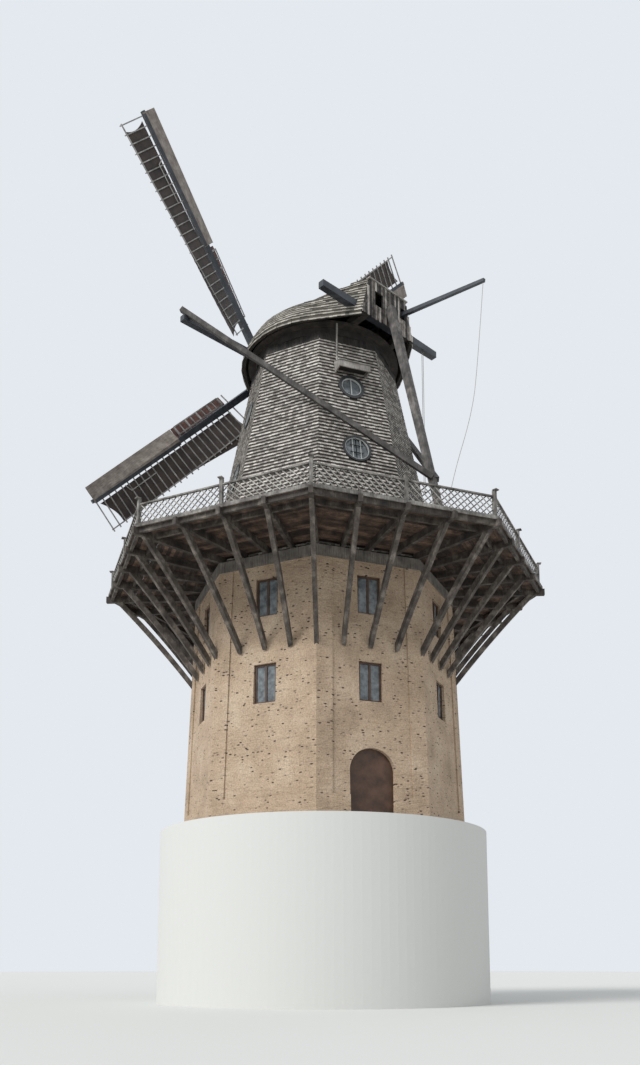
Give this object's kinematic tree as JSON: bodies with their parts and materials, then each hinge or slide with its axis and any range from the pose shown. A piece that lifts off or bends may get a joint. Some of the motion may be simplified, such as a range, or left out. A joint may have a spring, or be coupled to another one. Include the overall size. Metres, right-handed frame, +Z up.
{
  "type": "traditional windmill",
  "caption": "Gallery smock mill: octagonal masonry tower with a railed gallery on struts, shingled upper works, turning cap with tail pole, brake lever and latticed sails.",
  "frame": {"origin": "on the mill's vertical axis at ground level", "axes": "+Z up, the sails face -Y and the tail pole points to +Y, the octagon's corners lie on X and Y"},
  "size_m": [20.96, 20.96, 35.1058],
  "materials": {
    "masonry": "rough",
    "weathered_wood": "rough",
    "window_glass": "clear",
    "shingles": "rough",
    "dark_painted_wood": "matt",
    "joinery": "satin",
    "sail_cloth": "matt",
    "pale_boards": "matt",
    "red_brown_boards": "matt",
    "rope": "matt"
  },
  "bodies": {
    "tower": {"masonry_base": "masonry", "ground_floor": "masonry", "tower_floors": "weathered_wood", "tower_band": "masonry", "entrance_doors": "joinery", "tower_window_frames": "joinery", "tower_window_glass": "window_glass", "smock_wall_1": "shingles", "smock_wall_2": "shingles", "smock_wall_3": "shingles", "smock_wall_4": "shingles", "smock_wall_5": "shingles", "smock_wall_6": "shingles", "smock_wall_7": "shingles", "smock_wall_8": "shingles", "smock_floors": "weathered_wood", "round_window_frames": "weathered_wood", "round_window_glass": "window_glass", "gallery_doors": "joinery", "window_hood": "shingles", "hood_pole": "weathered_wood", "curb_ring": "weathered_wood", "gallery_joists": "weathered_wood", "gallery_struts": "weathered_wood", "edge_trimmers": "weathered_wood", "deck_bearers": "weathered_wood", "deck_boards": "weathered_wood", "kerb_boards": "weathered_wood", "railing_posts": "weathered_wood", "handrails": "weathered_wood", "railing_lattice_1": "weathered_wood", "railing_lattice_2": "weathered_wood"},
    "cap": {"cap_shell": "shingles", "cap_gables": "weathered_wood", "gable_verges": "weathered_wood", "cap_frame": "weathered_wood", "short_spreader": "dark_painted_wood", "long_spreader": "dark_painted_wood", "tail_pole": "weathered_wood", "tail_braces": "weathered_wood", "hoist_ropes": "rope"},
    "lever": {"brake_lever": "dark_painted_wood", "brake_rope": "rope"},
    "sails": {"windshaft": "dark_painted_wood", "inner_stock": "dark_painted_wood", "outer_stock": "dark_painted_wood", "sail_frames": "weathered_wood", "sail_cloths": "sail_cloth", "leading_boards": "red_brown_boards", "nose_boards": "pale_boards"}
  },
  "joints": [
    {"name": "cap_turn", "type": "hinge", "parent": "tower", "child": "cap", "pos_m": [0, 0, 23.285], "axis": [0, 0, 1], "continuous": true},
    {"name": "sail_turn", "type": "hinge", "parent": "cap", "child": "sails", "pos_m": [0, -4.464, 25.01], "axis": [0, -0.9724, 0.2334], "continuous": true},
    {"name": "brake_lever_lift", "type": "hinge", "parent": "cap", "child": "lever", "pos_m": [-1, 2.5, 24.85], "axis": [1, 0, 0], "range_deg": [0, 4]}
  ]
}
